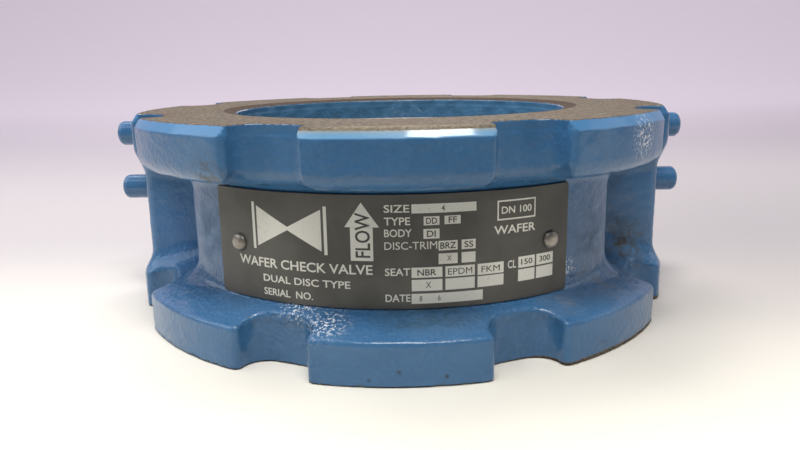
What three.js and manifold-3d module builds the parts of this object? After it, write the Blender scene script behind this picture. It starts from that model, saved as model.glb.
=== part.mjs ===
// A dual-disc wafer check valve for a DN100 (4 inch) pipe, built as its separate pieces.
// Millimetres. +Z runs along the flow, from the inlet face to the outlet face, and the origin is
// the centre of the inlet face. +X runs along the hinge pin. The nameplate faces -Y.
// Angles round the valve start at -Y, the front, and grow towards +X.
import * as THREE from "three";
import { mergeVertices } from "three/addons/utils/BufferGeometryUtils.js";
import Module from "manifold-3d";

const wasm = await Module();
wasm.setup();

// ---------------------------------------------------------------- driving dimensions
const FACE_TO_FACE = 73;
const FLANGE_R = 100.5;
const INLET_FLANGE_T = 13.3;
const OUTLET_FLANGE_T = 17.3;
const OUTLET_CHAMFER = { width: 1.8, height: 2.8 };
const RIM_ROUND = 4;
const RIM_EDGE = 0.8;
// How far each flange thickens between its rim and the neck.
const INLET_RISE = 5.4;
const OUTLET_RISE = 2.6;
const NECK_R = 74;
const NECK_FILLET = 6;
const BORE_R = 63; // outlet side, where the discs swing
const BORE_LIP = { width: 4.5, height: 1 };
const PORT_R = 51; // inlet side, below the seat
const SEAT_LEDGE_Z = 22.5;

const BOLT_NOTCHES = 8;
const NOTCH = { halfWidth: 11.4, floor: 89.4, innerRound: 6.5, landRound: 2.4 };

const PAD_R = 84.3; // front and back pads; the front one carries the nameplate
const PAD_HALF_ANGLE = 62;
const PAD_CORNER_R = 9;
const BOSS_FACE_X = 96.5; // the flat outside of each pin boss
const BOSS_HALF_WIDTH = 22;
const BOSS_CORNER_R = 4;

const PIN_R = 4.76;
const PIN_HALF_LENGTH = 78;
const HINGE_Z = 42.4;
const STOP_Z = 63.9;
const GAP = 0.35; // clearance between pieces that touch or turn in each other
const SEAT_GAP = 0.3; // under the seat ring, and between it and the shut discs
const PLUG = { inner: 79, outer: 112, round: 2.4 };

const CROSSBAR = { halfWidth: 7, bottom: 7, noseHalfWidth: 3.5, noseHeight: 5 };
const INNER_BOSS = { face: 56, radius: 8.8 };

const SEAT = { outer: 62.6, inner: 51.6, thickness: 2.7, barHalfWidth: 6.6 };

const DISC_R = 58.5;
const DISC_T = 7;
const DISC_EDGE_Y = 1.2; // half the gap between the two straight edges
const DISC_BEVEL = 1;
const LUG = { radius: 8.5, width: 12, webStart: 2.2, webEnd: 12, outer: 41.4, inner: 26.8 };
const STOP_ANGLE = 85;
const STOP_BOSS = { x: 14, width: 9, length: 8 };

const WASHER = { outer: 8.2, thickness: 2 };
const SPRING_WASHER_T = 1.4;
const SPRING = { wire: 2.4, coilR: 6.7, pitch: 2.8, turns: 3, leg: 36, centreX: 13.1 };

const PLATE = { thickness: 0.8, turn: -2, halfAngle: 40.9, bottom: 17.9, top: 52.5 };
const RIVET = { angle: 35.1, headR: 2.5, headHeight: 1.3, shankR: 1.55, shankLength: 7 };

const ROUND_STEPS = 64; // facets of the body's large circles
const PIN_STEPS = 20;
const SMALL_STEPS = 16;
const OVERLAP = 2; // how far joined solids run into each other, and a cutter past a face
const ROUND_MID = 1 - Math.SQRT1_2; // the middle of a round, as a share of its radius

// ---------------------------------------------------------------- worked out from them
const RAD = Math.PI / 180;
const HOLE_R = (PIN_R + GAP) / Math.cos(Math.PI / PIN_STEPS);
const SEAT_TOP_Z = SEAT_LEDGE_Z + SEAT_GAP + SEAT.thickness;
const DISC_FRONT = SEAT_TOP_Z + SEAT_GAP - HINGE_Z; // sealing face, measured from the hinge axis
const DISC_BACK = DISC_FRONT + DISC_T;
const LEAN = (90 - STOP_ANGLE) * RAD; // how far an open disc stands from upright
const STOP_BOSS_HEIGHT = -DISC_BACK + (STOP_Z - HINGE_Z) * Math.sin(LEAN) - PIN_R - GAP;
const PLATE_MID_Z = (PLATE.bottom + PLATE.top) / 2;
const RIVET_HOLE_R = RIVET.shankR + GAP;

const material = (color, roughness, metalness) =>
  new THREE.MeshStandardMaterial({ color, roughness, metalness });
const paint = material(0x2f6ea8, 0.4, 0.1);
const rubber = material(0x1b1b1d, 0.85, 0);
const bronze = material(0xa9803f, 0.4, 0.9);
const steel = material(0xb7b9bb, 0.3, 1);
const ptfe = material(0xe9e7e0, 0.6, 0);
const blackPlate = material(0x3d3b38, 0.5, 0.3);

// ---------------------------------------------------------------- solids
// A geometry as a manifold-3d solid. A profile drawn the other way round is turned outside out.
function solid(geometry) {
  const bare = geometry.index ? geometry.toNonIndexed() : geometry.clone();
  for (const name of Object.keys(bare.attributes)) {
    if (name !== "position") bare.deleteAttribute(name);
  }
  const merged = mergeVertices(bare, 1e-3);
  const make = (triVerts) =>
    new wasm.Manifold(
      new wasm.Mesh({ numProp: 3, vertProperties: merged.attributes.position.array, triVerts }),
    );
  const corners = new Uint32Array(merged.index.array);
  const made = make(corners);
  return made.volume() < 0 ? make(corners.reverse()) : made;
}

function geometryOf(made) {
  const mesh = made.getMesh();
  const geometry = new THREE.BufferGeometry();
  const positions = new Float32Array(mesh.numVert * 3);
  for (let i = 0; i < mesh.numVert; i++) {
    const at = i * mesh.numProp;
    positions.set(mesh.vertProperties.subarray(at, at + 3), i * 3);
  }
  geometry.setAttribute("position", new THREE.BufferAttribute(positions, 3));
  geometry.setIndex(new THREE.BufferAttribute(mesh.triVerts, 1));
  geometry.computeVertexNormals();
  return geometry;
}

const join = (...solids) => solids.reduce((all, one) => all.add(one));
const cut = (from, ...tools) => tools.reduce((left, tool) => left.subtract(tool), from);

// [radius, height] points revolved round Z. The profile closes on itself.
function revolved(profile, steps = ROUND_STEPS) {
  const points = [...profile, profile[0]].map(([r, z]) => new THREE.Vector2(r, z));
  return solid(new THREE.LatheGeometry(points, steps).rotateX(Math.PI / 2));
}

function extruded(shape, bottom, top, options = {}) {
  const settings = { depth: top - bottom, bevelEnabled: false, curveSegments: 24, ...options };
  return solid(new THREE.ExtrudeGeometry(shape, settings).translate(0, 0, bottom));
}

function rodAlongX(radius, x0, x1, z, steps = PIN_STEPS) {
  const rod = new THREE.CylinderGeometry(radius, radius, x1 - x0, steps);
  return solid(rod.rotateZ(Math.PI / 2).translate((x0 + x1) / 2, 0, z));
}

function block(x0, x1, y0, y1, z0, z1) {
  const box = new THREE.BoxGeometry(x1 - x0, y1 - y0, z1 - z0);
  return solid(box.translate((x0 + x1) / 2, (y0 + y1) / 2, (z0 + z1) / 2));
}

// A stretch of ring between two angles, as an outline seen from above.
function sector(inner, outer, from, to) {
  const shape = new THREE.Shape();
  const start = (from - 90) * RAD;
  const end = (to - 90) * RAD;
  shape.absarc(0, 0, outer, start, end, false);
  shape.absarc(0, 0, inner, end, start, true);
  return shape;
}

function roundedRectangle(x0, x1, y0, y1, r) {
  const shape = new THREE.Shape();
  shape.absarc(x1 - r, y1 - r, r, 0, Math.PI / 2, false);
  shape.absarc(x0 + r, y1 - r, r, Math.PI / 2, Math.PI, false);
  shape.absarc(x0 + r, y0 + r, r, Math.PI, 1.5 * Math.PI, false);
  shape.absarc(x1 - r, y0 + r, r, 1.5 * Math.PI, 2 * Math.PI, false);
  return shape;
}

// ---------------------------------------------------------------- the body casting
// The stretch of the neck that the pads and bosses cover, run a little into both flanges.
const BETWEEN_FLANGES = [INLET_FLANGE_T - OVERLAP, FACE_TO_FACE - OUTLET_FLANGE_T + OVERLAP];

function bodyShell() {
  const rimTop = FACE_TO_FACE - OUTLET_CHAMFER.height;
  const under = FACE_TO_FACE - OUTLET_FLANGE_T;
  const low = INLET_FLANGE_T + INLET_RISE;
  const high = under - OUTLET_RISE;
  const f = NECK_FILLET;
  return revolved([
    [PORT_R, 0],
    [FLANGE_R - RIM_EDGE, 0],
    [FLANGE_R, RIM_EDGE],
    [FLANGE_R, INLET_FLANGE_T - RIM_EDGE],
    [FLANGE_R - RIM_EDGE, INLET_FLANGE_T],
    [NECK_R + f, low],
    [NECK_R + f * ROUND_MID, low + f * ROUND_MID],
    [NECK_R, low + f],
    [NECK_R, high - f],
    [NECK_R + f * ROUND_MID, high - f * ROUND_MID],
    [NECK_R + f, high],
    [FLANGE_R - RIM_ROUND, under],
    [FLANGE_R - RIM_ROUND * ROUND_MID, under + RIM_ROUND * ROUND_MID],
    [FLANGE_R, under + RIM_ROUND],
    [FLANGE_R, rimTop],
    [FLANGE_R - OUTLET_CHAMFER.width, FACE_TO_FACE],
    [BORE_R + BORE_LIP.width, FACE_TO_FACE],
    [BORE_R, FACE_TO_FACE - BORE_LIP.height],
    [BORE_R, SEAT_LEDGE_Z],
    [PORT_R, SEAT_LEDGE_Z],
  ]);
}

// A pad follows the round of the neck further out; the corners at its two ends are rounded.
function padOutline(turn) {
  const middle = (turn - 90) * RAD;
  const end = PAD_HALF_ANGLE * RAD;
  const centreR = PAD_R - PAD_CORNER_R;
  const lean = end - Math.asin(PAD_CORNER_R / centreR);
  const shape = new THREE.Shape();
  const corner = (angle, from, to) =>
    shape.absarc(centreR * Math.cos(angle), centreR * Math.sin(angle), PAD_CORNER_R, from, to, false);
  corner(middle - lean, middle - end - Math.PI / 2, middle - lean);
  shape.absarc(0, 0, PAD_R, middle - lean, middle + lean, false);
  corner(middle + lean, middle + lean, middle + end + Math.PI / 2);
  shape.absarc(0, 0, BORE_R + OVERLAP, middle + end, middle - end, true);
  return shape;
}

function pads() {
  return [0, 180].map((turn) => extruded(padOutline(turn), ...BETWEEN_FLANGES, { curveSegments: 12 }));
}

function pinBosses() {
  const inside = BORE_R + OVERLAP;
  const outline = (x0, x1) =>
    roundedRectangle(x0, x1, -BOSS_HALF_WIDTH, BOSS_HALF_WIDTH, BOSS_CORNER_R);
  return [outline(inside, BOSS_FACE_X), outline(-BOSS_FACE_X, -inside)].map((shape) =>
    extruded(shape, ...BETWEEN_FLANGES, { curveSegments: 3 }),
  );
}

// The bar under the meeting edges of the discs, with a narrow nose towards the inlet.
function crossbar() {
  const bar = CROSSBAR;
  const shape = new THREE.Shape([
    new THREE.Vector2(-bar.halfWidth, SEAT_LEDGE_Z),
    new THREE.Vector2(-bar.halfWidth, bar.bottom + bar.noseHeight),
    new THREE.Vector2(-bar.noseHalfWidth, bar.bottom),
    new THREE.Vector2(bar.noseHalfWidth, bar.bottom),
    new THREE.Vector2(bar.halfWidth, bar.bottom + bar.noseHeight),
    new THREE.Vector2(bar.halfWidth, SEAT_LEDGE_Z),
  ]);
  const length = 2 * (PORT_R + OVERLAP);
  const geometry = new THREE.ExtrudeGeometry(shape, { depth: length, bevelEnabled: false });
  geometry.translate(0, 0, -length / 2).rotateX(Math.PI / 2).rotateZ(Math.PI / 2);
  return solid(geometry);
}

// A bolt notch is flat across its floor; the corners of the lands beside it are rounded.
function notchOutline() {
  const { halfWidth, floor, innerRound, landRound } = NOTCH;
  const corner = halfWidth + landRound;
  const rim = Math.sqrt(FLANGE_R ** 2 - corner ** 2) - landRound;
  const outside = FLANGE_R + OVERLAP;
  const shape = new THREE.Shape();
  shape.absarc(halfWidth - innerRound, floor + innerRound, innerRound, -Math.PI / 2, 0, false);
  shape.absarc(corner, rim, landRound, Math.PI, Math.PI / 2, true);
  shape.lineTo(corner, outside);
  shape.lineTo(-corner, outside);
  shape.absarc(-corner, rim, landRound, Math.PI / 2, 0, true);
  shape.absarc(innerRound - halfWidth, floor + innerRound, innerRound, Math.PI, 1.5 * Math.PI, false);
  return shape;
}

function notchCutters() {
  const notch = extruded(notchOutline(), -OVERLAP, FACE_TO_FACE + OVERLAP, { curveSegments: 3 });
  const pitch = 360 / BOLT_NOTCHES;
  return Array.from({ length: BOLT_NOTCHES }, (_, i) => notch.rotate([0, 0, (i + 0.5) * pitch]));
}

function pinHoles() {
  const inside = INNER_BOSS.face - OVERLAP;
  const outside = FLANGE_R + OVERLAP;
  return [HINGE_Z, STOP_Z].flatMap((z) => [
    rodAlongX(HOLE_R, inside, outside, z),
    rodAlongX(HOLE_R, -outside, -inside, z),
  ]);
}

// A cylinder that points out of the body at an angle round it.
function radialRod(radius, from, to, angle, z) {
  const rod = new THREE.CylinderGeometry(radius, radius, to - from, SMALL_STEPS);
  rod.translate(0, (from + to) / 2, 0).rotateZ(Math.PI + angle * RAD).translate(0, 0, z);
  return solid(rod);
}

function rivetHoles(from, to) {
  return [-RIVET.angle, RIVET.angle].map((angle) =>
    radialRod(RIVET_HOLE_R, from, to, PLATE.turn + angle, PLATE_MID_Z),
  );
}

function bodyCasting() {
  const inWall = BORE_R + OVERLAP;
  const innerBosses = [
    rodAlongX(INNER_BOSS.radius, INNER_BOSS.face, inWall, HINGE_Z),
    rodAlongX(INNER_BOSS.radius, -inWall, -INNER_BOSS.face, HINGE_Z),
  ];
  const rough = join(bodyShell(), ...pads(), ...pinBosses(), ...innerBosses, crossbar());
  const rivetDepth = PAD_R - RIVET.shankLength - GAP;
  return cut(rough, ...notchCutters(), ...pinHoles(), ...rivetHoles(rivetDepth, PAD_R + OVERLAP));
}

// ---------------------------------------------------------------- the moving discs
// Everything on a disc is measured from the hinge axis. This one covers the -Y half of the port.
function disc() {
  const edgeAngle = Math.asin(DISC_EDGE_Y / DISC_R);
  const outline = new THREE.Shape();
  const r = DISC_R - DISC_BEVEL;
  outline.absarc(0, -DISC_BEVEL, r, Math.PI + edgeAngle, 2 * Math.PI - edgeAngle, false);
  const plate = extruded(outline, DISC_FRONT + DISC_BEVEL, DISC_BACK - DISC_BEVEL, {
    bevelEnabled: true,
    bevelThickness: DISC_BEVEL,
    bevelSize: DISC_BEVEL,
    bevelSegments: 1,
  });
  const lugStarts = [-LUG.outer - LUG.width, LUG.inner];
  const lugs = lugStarts.flatMap((x) => [
    rodAlongX(LUG.radius, x, x + LUG.width, 0),
    block(x, x + LUG.width, -LUG.webEnd, -LUG.webStart, DISC_BACK - OVERLAP, 0),
  ]);
  const along = STOP_Z - HINGE_Z;
  const stops = [-STOP_BOSS.x, STOP_BOSS.x].map((x) =>
    block(
      x - STOP_BOSS.width / 2,
      x + STOP_BOSS.width / 2,
      -along - STOP_BOSS.length / 2,
      -along + STOP_BOSS.length / 2,
      DISC_BACK - OVERLAP,
      DISC_BACK + STOP_BOSS_HEIGHT,
    ),
  );
  const bore = rodAlongX(HOLE_R, -DISC_R, DISC_R, 0);
  return geometryOf(cut(join(plate, ...lugs, ...stops), bore));
}

// ---------------------------------------------------------------- seat, pins, washers, plugs
function seatRing() {
  const shape = new THREE.Shape();
  shape.absarc(0, 0, SEAT.outer, 0, 2 * Math.PI, false);
  const corner = Math.asin(SEAT.barHalfWidth / SEAT.inner);
  for (const turn of [0, Math.PI]) {
    const port = new THREE.Path();
    port.absarc(0, 0, SEAT.inner, turn + corner, turn + Math.PI - corner, false);
    port.closePath();
    shape.holes.push(port);
  }
  return geometryOf(extruded(shape, 0, SEAT.thickness));
}

function washer(thickness) {
  const ring = (r) => rodAlongX(r, -thickness / 2, thickness / 2, 0);
  return geometryOf(cut(ring(WASHER.outer), rodAlongX(HOLE_R, -thickness, thickness, 0)));
}

// A plug's own axis is Y until it is turned; its rounded end is the one outside the body.
function plug() {
  const { inner, outer, round } = PLUG;
  const profile = [
    [0, inner],
    [PIN_R, inner],
    [PIN_R, outer - round],
    [PIN_R - round * ROUND_MID, outer - round * ROUND_MID],
    [PIN_R - round, outer],
    [0, outer],
  ];
  return new THREE.LatheGeometry(profile.map(([r, y]) => new THREE.Vector2(r, y)), PIN_STEPS);
}

function rivet() {
  const { headR, headHeight, shankR, shankLength } = RIVET;
  const seat = PLATE.thickness + 2 * GAP;
  const dome = [0, 30, 60].map((angle) => [
    headR * Math.cos(angle * RAD),
    seat + headHeight * Math.sin(angle * RAD),
  ]);
  const profile = [
    [0, -shankLength],
    [shankR, -shankLength],
    [shankR, seat],
    ...dome,
    [0, seat + headHeight],
  ];
  return new THREE.LatheGeometry(profile.map(([r, y]) => new THREE.Vector2(r, y)), SMALL_STEPS);
}

function nameplate() {
  const from = PLATE.turn - PLATE.halfAngle;
  const to = PLATE.turn + PLATE.halfAngle;
  const inner = PAD_R + GAP;
  const outline = sector(inner, inner + PLATE.thickness, from, to);
  const sheet = extruded(outline, PLATE.bottom, PLATE.top, { curveSegments: 20 });
  return geometryOf(cut(sheet, ...rivetHoles(PAD_R - OVERLAP, PAD_R + OVERLAP)));
}

// ---------------------------------------------------------------- torsion springs
// Half of a spring: its leg lies on the -Y disc, then the wire winds up round the hinge axis.
class HalfSpring extends THREE.Curve {
  constructor() {
    super();
    this.coilLength = SPRING.turns * 2 * Math.PI * SPRING.coilR;
    this.restZ = DISC_BACK + GAP + SPRING.wire / 2; // the leg's tip just clears the disc's back
  }

  getPoint(t, target = new THREE.Vector3()) {
    const run = t * (SPRING.leg + this.coilLength) - SPRING.leg;
    const start = -SPRING.turns * SPRING.pitch - SPRING.wire / 2 - GAP;
    if (run < 0) {
      const share = -run / SPRING.leg;
      return target.set(start, run, -SPRING.coilR + (this.restZ + SPRING.coilR) * share ** 2);
    }
    const angle = run / SPRING.coilR;
    const x = start + (SPRING.pitch * angle) / (2 * Math.PI);
    return target.set(x, SPRING.coilR * Math.sin(angle), -SPRING.coilR * Math.cos(angle));
  }
}

function halfSpring() {
  const section = new THREE.Shape();
  section.absarc(0, 0, SPRING.wire / 2, 0, 2 * Math.PI, false);
  return new THREE.ExtrudeGeometry(section, {
    extrudePath: new HalfSpring(),
    steps: 42,
    curveSegments: 3,
  });
}

// ---------------------------------------------------------------- assembly
const valve = new THREE.Group();

function place(name, geometry, look, { at = [0, 0, 0], turn = [0, 0, 0], into = valve } = {}) {
  const mesh = new THREE.Mesh(geometry, look);
  mesh.name = name;
  mesh.position.set(...at);
  mesh.rotation.set(...turn);
  into.add(mesh);
}

place("body_casting", geometryOf(bodyCasting()), paint);
place("seat_ring", seatRing(), rubber, { at: [0, 0, SEAT_LEDGE_Z + SEAT_GAP] });

const pin = new THREE.CylinderGeometry(PIN_R, PIN_R, 2 * PIN_HALF_LENGTH, PIN_STEPS);
place("stop_pin", pin, steel, { at: [0, 0, STOP_Z], turn: [0, 0, Math.PI / 2] });

const hinge = new THREE.Group();
hinge.position.z = HINGE_Z;
valve.add(hinge);
place("hinge_pin", pin, steel, { turn: [0, 0, Math.PI / 2], into: hinge });

const halfDisc = disc();
place("front_disc", halfDisc, bronze, { into: hinge });
place("rear_disc", halfDisc, bronze, { turn: [0, 0, Math.PI], into: hinge });

const SIDES = [
  ["left", -1],
  ["right", 1],
];
const lugGap = LUG.outer - (LUG.inner + LUG.width);
for (const [side, sign] of SIDES) {
  const washers = [
    ["body_bearing", WASHER.thickness, (LUG.outer + LUG.width + INNER_BOSS.face) / 2],
    ["disc_bearing", WASHER.thickness, LUG.outer - lugGap / 2],
    ["spring_bearing", SPRING_WASHER_T, LUG.inner - GAP - SPRING_WASHER_T / 2],
  ];
  for (const [name, thickness, x] of washers) {
    place(`${name}_${side}`, washer(thickness), ptfe, { at: [sign * x, 0, 0], into: hinge });
  }
  const spring = new THREE.Group();
  spring.position.x = sign * SPRING.centreX;
  hinge.add(spring);
  place(`spring_${side}_front_half`, halfSpring(), steel, { into: spring });
  place(`spring_${side}_rear_half`, halfSpring(), steel, { turn: [0, 0, Math.PI], into: spring });
  for (const [name, z] of [["hinge_pin_plug", HINGE_Z], ["stop_pin_plug", STOP_Z]]) {
    const turn = [0, 0, (-sign * Math.PI) / 2];
    place(`${name}_${side}`, plug(), paint, { at: [0, 0, z], turn });
  }
}

place("nameplate", nameplate(), blackPlate);
for (const [side, sign] of SIDES) {
  const angle = (PLATE.turn + sign * RIVET.angle) * RAD;
  const at = [PAD_R * Math.sin(angle), -PAD_R * Math.cos(angle), PLATE_MID_Z];
  place(`nameplate_rivet_${side}`, rivet(), steel, { at, turn: [0, 0, Math.PI + angle] });
}

export default valve;
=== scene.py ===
import math

import bmesh
import bpy
import numpy as np
from mathutils import Matrix, Vector


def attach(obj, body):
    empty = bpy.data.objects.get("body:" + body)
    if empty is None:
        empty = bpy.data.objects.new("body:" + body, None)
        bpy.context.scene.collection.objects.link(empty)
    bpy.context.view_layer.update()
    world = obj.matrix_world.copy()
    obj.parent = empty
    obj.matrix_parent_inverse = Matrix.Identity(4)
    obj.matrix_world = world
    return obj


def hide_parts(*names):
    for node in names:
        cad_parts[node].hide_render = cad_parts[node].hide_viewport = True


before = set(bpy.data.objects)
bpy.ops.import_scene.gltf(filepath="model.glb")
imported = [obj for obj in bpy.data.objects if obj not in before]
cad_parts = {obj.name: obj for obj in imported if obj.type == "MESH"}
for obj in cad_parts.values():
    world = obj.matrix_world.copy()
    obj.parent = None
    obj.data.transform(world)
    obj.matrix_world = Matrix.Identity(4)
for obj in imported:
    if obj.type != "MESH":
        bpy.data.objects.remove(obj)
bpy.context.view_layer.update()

# A dual-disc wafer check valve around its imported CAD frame. Shapes are worked out in millimetres
# in the CAD's frame (+Z along the flow, the nameplate facing -Y) and made in metres.
MM = 0.001

# ------------ sizes in mm, following the CAD
FACE_TO_FACE = 73.0
FLANGE_R = 100.4
FLANGE_CORNER_R = 2.2
INLET_FLANGE_T = 13.3
INLET_SLOPE = 0.27  # how steeply each flange's inner side leans
OUTLET_UNDERSIDE = 55.7  # near the rim, at UNDERSIDE_R
OUTLET_SLOPE = 0.12
UNDERSIDE_R = 97.5
RIM_DRAFT = 0.02
CHAMFER_START = 68.6  # the body's grid is fine from here up
CHAMFER_TOP_R = 98.5
CHAMFER_DROP = 2.8
CHAMFER_WIDTH = 1.9
CHAMFER_SLANT = 3.38  # along its slope
NOTCH_HALF_WIDTH = 11.4
NOTCH_FLOOR_R = 89.4
NOTCH_CORNER_R = 7.0
NOTCH_FLARE = 0.03
NOTCH_PITCH = 45.0
NECK_R = 73.5
PAD_R = 84.3
PAD_HALF_ANGLE = 62.0
PAD_CORNER_R = 9.0
BOSS_FACE_X = 96.5
BOSS_HALF_WIDTH = 22.0
BORE_R = 63.0
LIP_R = 67.5
LIP_DEPTH = 1.0
PORT_R = 51.0
LEDGE_Z = 22.5
CROSSBAR_Z = 7.0
CROSSBAR_HALF_WIDTH = 7.0
PIN_R = 4.76
PIN_HOLE_START = 54.0
EYE_R = 8.8  # the bosses inside the bore that hold the hinge pin's ends
EYE_START = 56.0
HINGE_Z = 42.4
STOP_Z = 63.9
SEAT_Z = 22.8
SEAT_THICKNESS = 2.7
SEAT_TOP = 25.1  # of its flat parts
SEAT_OUTER_R = 62.6
SEAT_INNER_R = 51.6
BEAD_R = 55.4
RIB_Y = 4.0
WASHER_R = 8.2
DISC_R = 58.5
DISC_FRONT = SEAT_Z + SEAT_THICKNESS + 0.3 - HINGE_Z
DISC_BACK = DISC_FRONT + 7.0
LUG_R = 8.5
STOP_PAD = (14.0, -21.5, -3.24)  # its middle and its top, from the hinge axis
PLATE_INNER_R = 84.65
PLATE_OUTER_R = 85.45
PLATE_LEFT = -63.2  # arc lengths along the plate's surface, from the front of the valve
PLATE_RIGHT = 56.6
PLATE_BOTTOM = 18.1
PLATE_TOP = 52.6
RIVET_Z = 35.4


# ------------ node materials
class Look:
    """A material being made. Each method adds a node and gives back its output."""

    def __init__(self, name):
        self.material = bpy.data.materials.new(name)
        self.material.use_nodes = True
        self.tree = self.material.node_tree
        self.shader = self.tree.nodes["Principled BSDF"]
        self.place = self.node("TexCoord").outputs["Object"]

    def node(self, kind, inputs=(), **settings):
        made = self.tree.nodes.new("ShaderNode" + kind)
        for key, value in settings.items():
            setattr(made, key, value)
        for key, value in dict(inputs).items():
            self.put(made.inputs[key], value)
        return made

    def put(self, socket, value):
        if isinstance(value, bpy.types.NodeSocket):
            self.tree.links.new(value, socket)
        elif socket.type == "RGBA" and len(value) == 3:
            socket.default_value = (*value, 1)
        else:
            socket.default_value = value

    def surface(self, **values):
        for key, value in values.items():
            self.put(self.shader.inputs[key.replace("_", " ")], value)

    def noise(self, size, detail=2.0, roughness=0.5, at=None):
        """Clouds about size across, in millimetres."""
        inputs = {"Vector": at or self.place, "Scale": 1 / (size * MM)}
        inputs.update({"Detail": detail, "Roughness": roughness})
        return self.node("TexNoise", inputs).outputs["Fac"]

    def cells(self, size, smooth=0.6):
        """Rounded pits about size across, in millimetres."""
        inputs = {"Vector": self.place, "Scale": 1 / (size * MM), "Smoothness": smooth}
        return self.node("TexVoronoi", inputs, feature="SMOOTH_F1").outputs["Distance"]

    def remap(self, value, low, high, to_low=0.0, to_high=1.0):
        """A smooth step from to_low to to_high as value goes from low to high."""
        inputs = {"Value": value, "From Min": low, "From Max": high, "To Min": to_low, "To Max": to_high}
        return self.node("MapRange", inputs, interpolation_type="SMOOTHSTEP").outputs["Result"]

    def past(self, place, start, end, to_low=0.0, to_high=1.0):
        """The same smooth step, between two places in millimetres."""
        return self.remap(place, start * MM, end * MM, to_low, to_high)

    def maths(self, operation, a, b):
        return self.node("Math", {0: a, 1: b}, operation=operation).outputs[0]

    def times(self, a, b):
        return self.maths("MULTIPLY", a, b)

    def plus(self, a, b):
        return self.maths("ADD", a, b)

    def minus(self, a, b):
        return self.maths("SUBTRACT", a, b)

    def most(self, a, b):
        return self.maths("MAXIMUM", a, b)

    def blend(self, share, a, b):
        """A number that goes from a to b as share goes from 0 to 1."""
        return self.plus(self.times(a, self.minus(1.0, share)), self.times(b, share))

    def mix(self, share, a, b):
        """A colour that goes from a to b as share goes from 0 to 1."""
        inputs = {"Factor": share, "A": a, "B": b}
        made = self.node("Mix", data_type="RGBA")
        for key, value in inputs.items():
            socket = next(s for s in made.inputs if s.name == key and s.enabled)
            self.put(socket, value)
        return next(s for s in made.outputs if s.enabled)

    def bump(self, height, depth, strength=1.0, normal=None):
        """The normal of a surface with this relief, whose depth is in millimetres."""
        inputs = {"Height": height, "Distance": depth * MM, "Strength": strength}
        if normal:
            inputs["Normal"] = normal
        return self.node("Bump", inputs).outputs["Normal"]

    def axis(self, name):
        return self.node("SeparateXYZ", {0: self.place}).outputs[name]

    def radius(self):
        """How far a point is from the axis of the flow."""
        flat = self.node("VectorMath", {0: self.place, 1: (1, 1, 0)}, operation="MULTIPLY")
        length = self.node("VectorMath", {0: flat.outputs[0]}, operation="LENGTH")
        return length.outputs["Value"]

    def stretched(self, scale):
        """The place, scaled along each axis: under 1 draws a pattern out along that axis."""
        return self.node("Mapping", {"Vector": self.place, "Scale": scale}).outputs[0]

    def near(self, centre, reach):
        """1 at a point of the part, given in millimetres, falling to 0 at its reach."""
        inputs = {0: self.place, 1: [c * MM for c in centre]}
        away = self.node("VectorMath", inputs, operation="DISTANCE").outputs["Value"]
        return self.past(away, 0.0, reach, 1.0, 0.0)

    def near_any(self, spots):
        """The same for several (centre, reach) spots: 1 at the centre of any of them."""
        share = 0.0
        for centre, reach in spots:
            share = self.most(share, self.near(centre, reach))
        return share


# ------------ the enamel, what lies on it, and the light painted on it
# Spots are (centre, reach) in millimetres. Colours are linear, and a pair is the two ends of a mix.
RUST_SPOTS = (
    ((-54, -82, 58.5), 10), ((84, -23, 21), 15), ((75, -38, 19), 8),
    ((60, 70, 20), 12), ((-20, 98, 8), 8),
)
CHIPS = (
    ((-0.5, -100.4, 4.6), 1.3), ((-9, -100, 2.2), 0.9), ((13, -99.5, 3.0), 1.1), ((38, -90, 66), 1.0),
)
# Sandy spots, with raised sand grains and painted glints.
SAND_AND_GLINT_SPOTS = (
    ((-22, -90, 15.5), 10), ((-31, -81, 19), 9), ((55, -66, 24), 5), ((76, -66, 66), 10),
)
# Painted light: the spot beside the left boss, where a paler blue stands in for light reaching that
# recess. Its coat is duller too.
PAINTED_LIGHT_SPOT = ((-84, -24, 29), 22)
PAD_DUST = (0.082, 0.125, 0.185)
SLOPE_DUST = (0.150, 0.180, 0.225)
# Painted shade: a dark patch under the nameplate's lower edge.
SHADE_UNDER_PLATE = (0.026, 0.055, 0.068)
DUST_AND_SHADE_SPOTS = (
    ((-63, -56, 36), 24, PAD_DUST), ((64, -56, 32), 24, PAD_DUST), ((80, -26, 28), 22, PAD_DUST),
    ((66, -60, 16), 20, SLOPE_DUST), ((81, -47, 15), 16, SLOPE_DUST), ((50, -75, 16.5), 11, SLOPE_DUST),
    ((0, -88, 17), 12, SHADE_UNDER_PLATE), ((12, -86, 17.5), 15, SHADE_UNDER_PLATE),
)
DEEP_BLUE = (0.036, 0.126, 0.270)
MID_BLUE = (0.050, 0.156, 0.315)
GRAIN_BLUE = (0.066, 0.180, 0.335)
# Painted light: the paler blue beside the left boss.
PAINTED_LIGHT_BLUE = (0.064, 0.190, 0.410)
# Painted light: the chamfer and bore blues are paler where light falls on them. The sheen blue is a
# painted sheen on the front chamfer, and the edge colour is worn paint with a painted highlight.
LIT_CHAMFER_BLUE = (0.075, 0.240, 0.470)
PAINTED_SHEEN_BLUE = (0.150, 0.340, 0.540)
WORN_AND_LIT_CHAMFER_EDGE = (0.270, 0.330, 0.360)
LIT_BORE_BLUE = (0.080, 0.230, 0.400)
RUST = ((0.040, 0.039, 0.028), (0.088, 0.074, 0.048))
# Painted glint: a near-white colour that stands in for sparkles of light on the sand.
PAINTED_GLINT = (0.93, 0.96, 1.0)
CHIPPED = (0.020, 0.028, 0.040)
FULL_COAT = 0.55
WORN_COAT = 0.1
# Where looks change, as (from, to) in millimetres.
FRONT_LAND_Y = (-90.0, -92.5)
CHAMFER_R = (97.3, 98.0)
CHAMFER_Z = (69.8, 70.4)


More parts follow.
